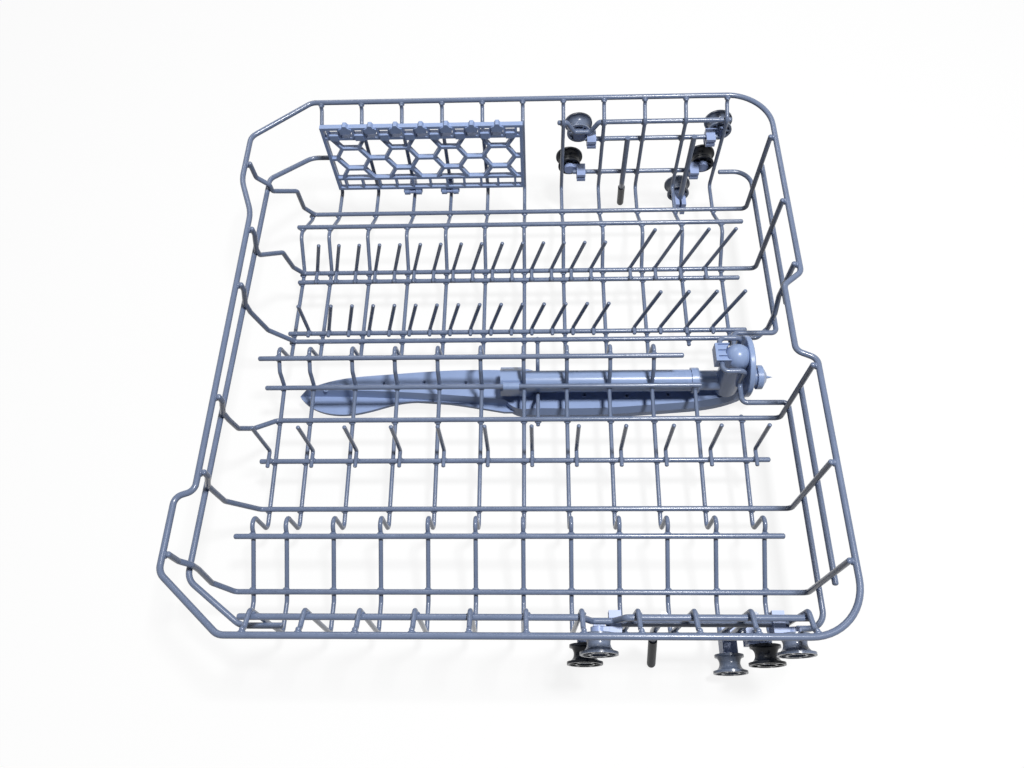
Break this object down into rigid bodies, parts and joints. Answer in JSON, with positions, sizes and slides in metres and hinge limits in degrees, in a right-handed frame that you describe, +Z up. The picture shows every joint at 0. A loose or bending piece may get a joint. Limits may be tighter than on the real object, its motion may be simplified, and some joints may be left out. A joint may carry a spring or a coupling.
{
  "type": "dishwasher basket",
  "caption": "Coated wire upper basket for a dishwasher, with tine rows, side rollers, a folding cup shelf and a spray arm under the floor.",
  "frame": {"origin": "centre of the outline at the lowest point, the tips of the two stop sleeves", "axes": "+X to the back, where the dock is; +Y to the side wall with the cup shelf; +Z up"},
  "size_m": [0.507, 0.525, 0.1575],
  "materials": {
    "wire_coating": "satin nylon coating on steel wire",
    "grey_plastic": "moulded, satin",
    "roller_plastic": "moulded, satin"
  },
  "bodies": {
    "basket": {"back_cross_wires_far": "wire_coating", "back_cross_wires_near": "wire_coating", "back_lower_wire": "wire_coating", "back_upper_wire_far": "wire_coating", "back_upper_wire_near": "wire_coating", "cross_wires": "wire_coating", "dock_flange": "grey_plastic", "dock_latch": "grey_plastic", "dock_nozzle": "grey_plastic", "far_long_tines": "wire_coating", "far_tines": "wire_coating", "feed_tube": "grey_plastic", "floor_wire_far_ridge": "wire_coating", "floor_wire_far_row": "wire_coating", "floor_wire_middle_ridge": "wire_coating", "floor_wire_middle_row": "wire_coating", "floor_wire_near_ridge": "wire_coating", "floor_wire_near_row": "wire_coating", "floor_wire_over_tube": "wire_coating", "front_cross_wire": "wire_coating", "front_wire": "wire_coating", "long_wire_far_edge": "wire_coating", "long_wire_far_row": "wire_coating", "long_wire_middle_row": "wire_coating", "long_wire_near_edge": "wire_coating", "long_wire_near_low": "wire_coating", "long_wire_near_slope": "wire_coating", "lower_roller_wire_far": "wire_coating", "lower_roller_wire_near": "wire_coating", "middle_long_tines": "wire_coating", "middle_tines": "wire_coating", "near_tines": "wire_coating", "rail_wire_far": "wire_coating", "rail_wire_near": "wire_coating", "rim_wire": "wire_coating", "roller_clips_far": "grey_plastic", "roller_clips_near": "grey_plastic", "roller_pins": "wire_coating", "shelf_clips": "grey_plastic", "spray_arm_nut": "grey_plastic", "stop_pins": "wire_coating", "stop_sleeves": "grey_plastic", "tube_end_cap": "grey_plastic", "tube_support_wire": "wire_coating", "upper_roller_wire_far": "wire_coating", "upper_roller_wire_near": "wire_coating"},
    "spray_arm": {"spray_arm_upper": "grey_plastic", "spray_arm_lower": "grey_plastic"},
    "cup_shelf": {"cup_shelf": "grey_plastic"},
    "roller_bottom_far": {"roller_bottom_far": "roller_plastic"},
    "roller_bottom_near": {"roller_bottom_near": "roller_plastic"},
    "roller_lower_back_far": {"roller_lower_back_far": "roller_plastic"},
    "roller_lower_back_near": {"roller_lower_back_near": "roller_plastic"},
    "roller_lower_front_far": {"roller_lower_front_far": "roller_plastic"},
    "roller_lower_front_near": {"roller_lower_front_near": "roller_plastic"},
    "roller_upper_back_far": {"roller_upper_back_far": "roller_plastic"},
    "roller_upper_back_near": {"roller_upper_back_near": "roller_plastic"},
    "roller_upper_front_far": {"roller_upper_front_far": "roller_plastic"},
    "roller_upper_front_near": {"roller_upper_front_near": "roller_plastic"}
  },
  "joints": [
    {"name": "spray_arm_spin", "type": "hinge", "parent": "basket", "child": "spray_arm", "pos_m": [0.0125, 0, 0.0185], "axis": [0, 0, 1], "continuous": true},
    {"name": "shelf_fold", "type": "hinge", "parent": "basket", "child": "cup_shelf", "pos_m": [-0.0875, 0.22602, 0.0582], "axis": [1, 0, 0], "range_deg": [0, 68]},
    {"name": "roller_bottom_far_spin", "type": "hinge", "parent": "basket", "child": "roller_bottom_far", "pos_m": [0.184, 0.255, 0.021], "axis": [0, 1, 0], "continuous": true},
    {"name": "roller_bottom_near_spin", "type": "hinge", "parent": "basket", "child": "roller_bottom_near", "pos_m": [0.184, -0.255, 0.021], "axis": [0, 1, 0], "continuous": true},
    {"name": "roller_lower_back_far_spin", "type": "hinge", "parent": "basket", "child": "roller_lower_back_far", "pos_m": [0.2025, 0.255, 0.068], "axis": [0, 1, 0], "continuous": true},
    {"name": "roller_lower_back_near_spin", "type": "hinge", "parent": "basket", "child": "roller_lower_back_near", "pos_m": [0.2025, -0.255, 0.068], "axis": [0, 1, 0], "continuous": true},
    {"name": "roller_lower_front_far_spin", "type": "hinge", "parent": "basket", "child": "roller_lower_front_far", "pos_m": [0.061, 0.255, 0.068], "axis": [0, 1, 0], "continuous": true},
    {"name": "roller_lower_front_near_spin", "type": "hinge", "parent": "basket", "child": "roller_lower_front_near", "pos_m": [0.061, -0.255, 0.068], "axis": [0, 1, 0], "continuous": true},
    {"name": "roller_upper_back_far_spin", "type": "hinge", "parent": "basket", "child": "roller_upper_back_far", "pos_m": [0.2115, 0.255, 0.116], "axis": [0, 1, 0], "continuous": true},
    {"name": "roller_upper_back_near_spin", "type": "hinge", "parent": "basket", "child": "roller_upper_back_near", "pos_m": [0.2115, -0.255, 0.116], "axis": [0, 1, 0], "continuous": true},
    {"name": "roller_upper_front_far_spin", "type": "hinge", "parent": "basket", "child": "roller_upper_front_far", "pos_m": [0.069, 0.255, 0.116], "axis": [0, 1, 0], "continuous": true},
    {"name": "roller_upper_front_near_spin", "type": "hinge", "parent": "basket", "child": "roller_upper_front_near", "pos_m": [0.069, -0.255, 0.116], "axis": [0, 1, 0], "continuous": true}
  ]
}
